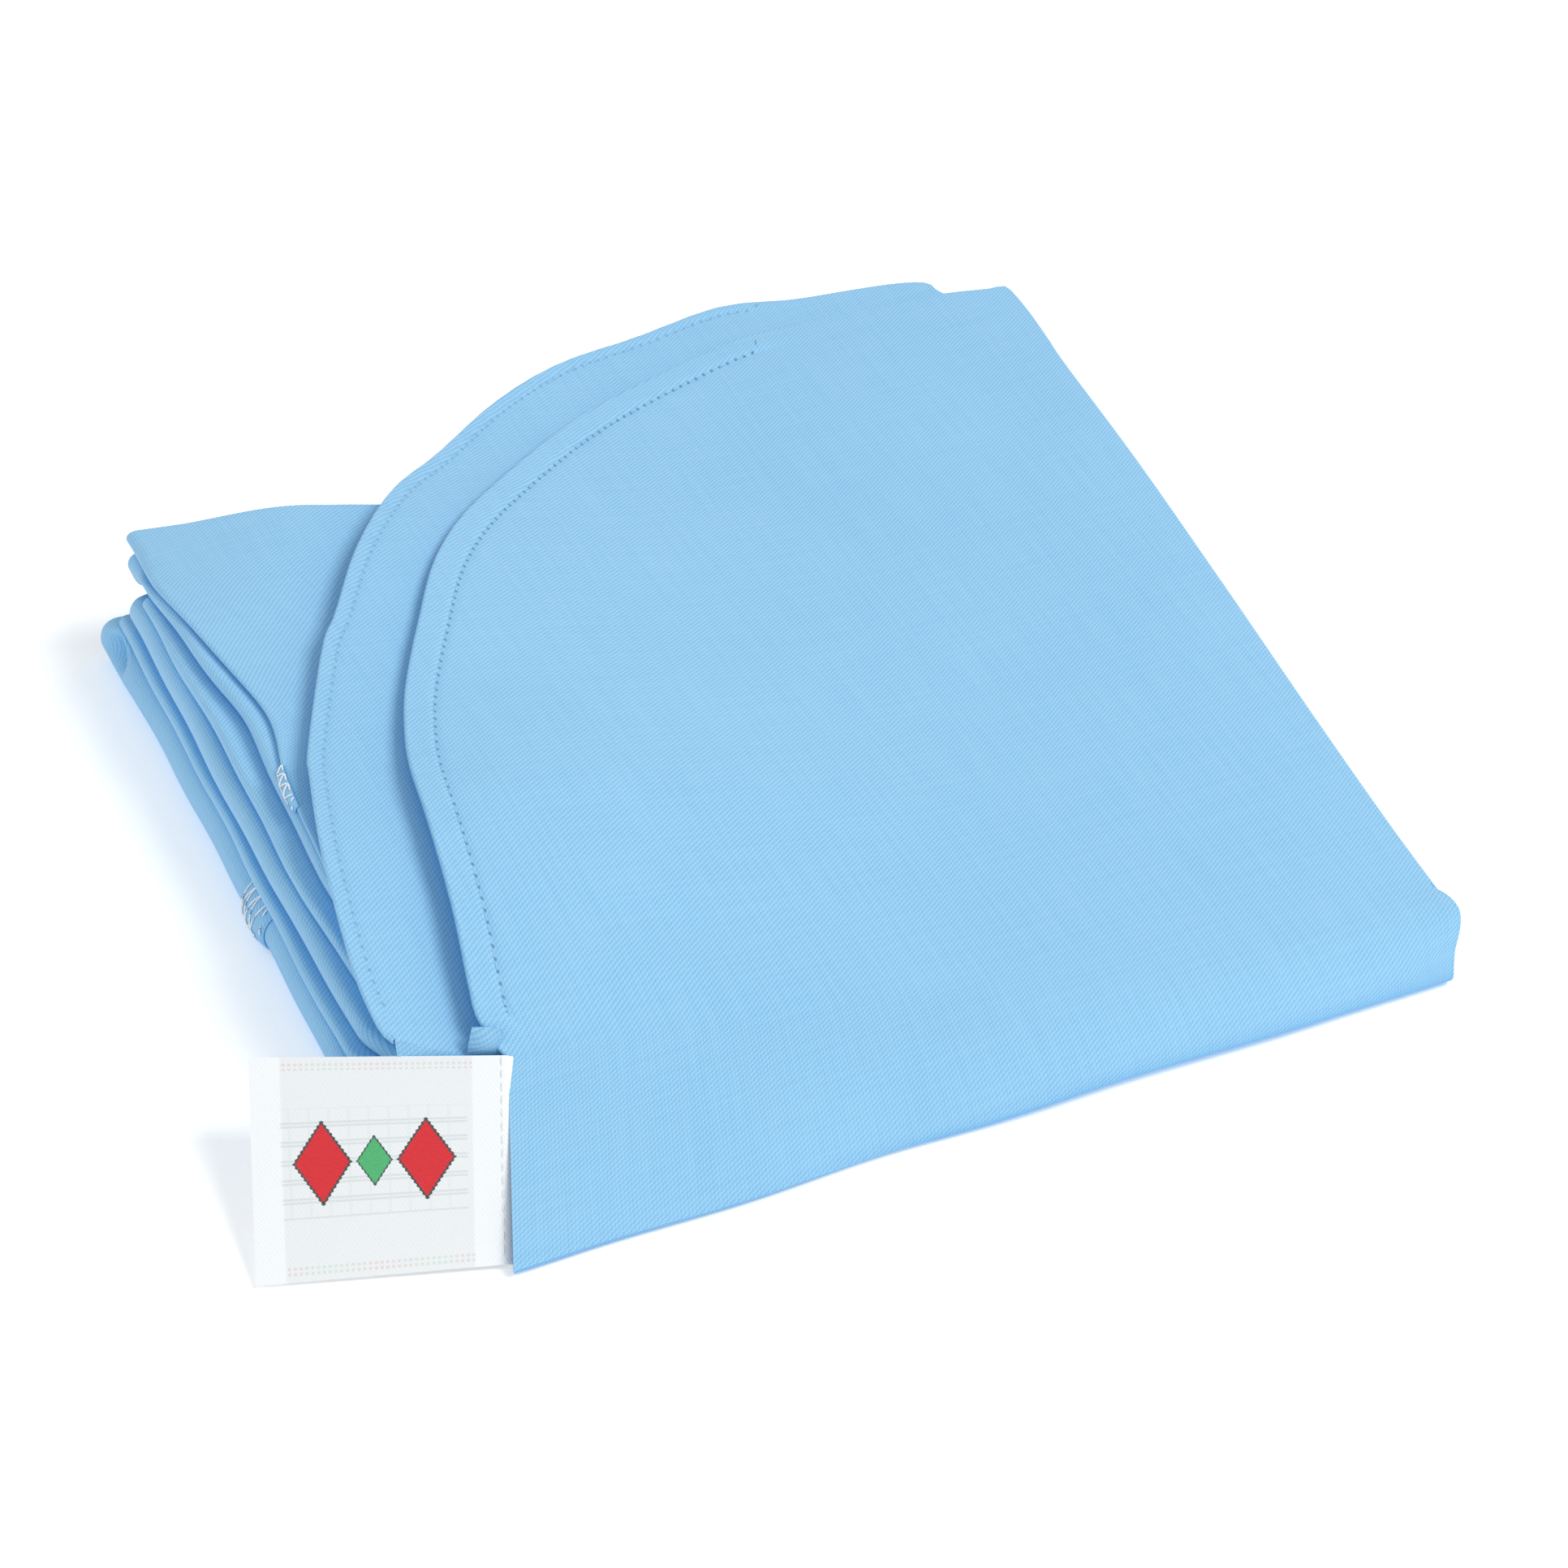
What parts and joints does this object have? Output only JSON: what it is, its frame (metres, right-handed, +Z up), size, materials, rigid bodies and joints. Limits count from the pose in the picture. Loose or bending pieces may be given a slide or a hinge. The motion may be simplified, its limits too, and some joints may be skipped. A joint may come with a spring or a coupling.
{
  "type": "patient gown",
  "caption": "Light blue woven hospital gown folded into a wedge-shaped pack, with rounded hemmed back panels that fold back and a woven label sewn into the seam.",
  "frame": {"origin": "middle of the folded pack's outline, label included, on the surface it lies on", "axes": "+X along the near fold towards the right edge, +Y from the near fold to the back edge, +Z up out of the pack"},
  "size_m": [0.2014, 0.198, 0.0273],
  "materials": {
    "blue_sheeting": "plain weave, matt",
    "blue_binding": "plain weave tape, matt",
    "blue_thread": "spun sewing thread",
    "white_thread": "textured overlock thread",
    "label_satin": "woven satin label, slight sheen"
  },
  "bodies": {
    "folded_pack": {"front_panel_fold_1": "blue_sheeting", "front_panel_fold_2": "blue_sheeting", "front_panel_fold_3": "blue_sheeting", "front_panel_fold_4": "blue_sheeting", "front_panel_fold_5": "blue_sheeting", "front_panel_fold_6": "blue_sheeting", "right_sleeve": "blue_sheeting", "right_sleeve_hem": "blue_sheeting", "left_sleeve": "blue_sheeting", "left_sleeve_hem": "blue_sheeting", "neck_tie_right": "blue_binding", "neck_tie_left": "blue_binding", "waist_tie_right": "blue_binding", "waist_tie_left": "blue_binding", "neck_binding": "blue_binding", "bottom_hem": "blue_sheeting", "side_seam_right": "blue_sheeting", "side_seam_right_overlock": "white_thread", "side_seam_left": "blue_sheeting", "side_seam_left_overlock": "white_thread"},
    "left_back_flap": {"left_back_panel": "blue_sheeting", "left_back_hem": "blue_sheeting", "left_back_hem_stitches": "blue_thread", "left_back_near_wrap": "blue_sheeting"},
    "right_back_flap": {"right_back_panel": "blue_sheeting", "right_back_hem": "blue_sheeting", "right_back_hem_stitches": "blue_thread", "right_back_near_wrap": "blue_sheeting"},
    "label_flap": {"label": "label_satin", "label_turned_end": "label_satin", "label_stitches": "white_thread"}
  },
  "joints": [
    {"name": "left_back_fold", "type": "hinge", "parent": "folded_pack", "child": "left_back_flap", "pos_m": [0, -0.0935, 0.0035], "axis": [1, 0, 0], "range_deg": [0, 80], "deforming": ["left_back_near_wrap"]},
    {"name": "right_back_fold", "type": "hinge", "parent": "left_back_flap", "child": "right_back_flap", "pos_m": [0, -0.092, 0.005], "axis": [1, 0, 0], "range_deg": [0, 130], "deforming": ["right_back_near_wrap"]},
    {"name": "label_seam", "type": "hinge", "parent": "right_back_flap", "child": "label_flap", "pos_m": [-0.055, -0.0685, 0.0146], "axis": [0.3473, 0.8368, 0.4232], "range_deg": [0, 110]}
  ]
}
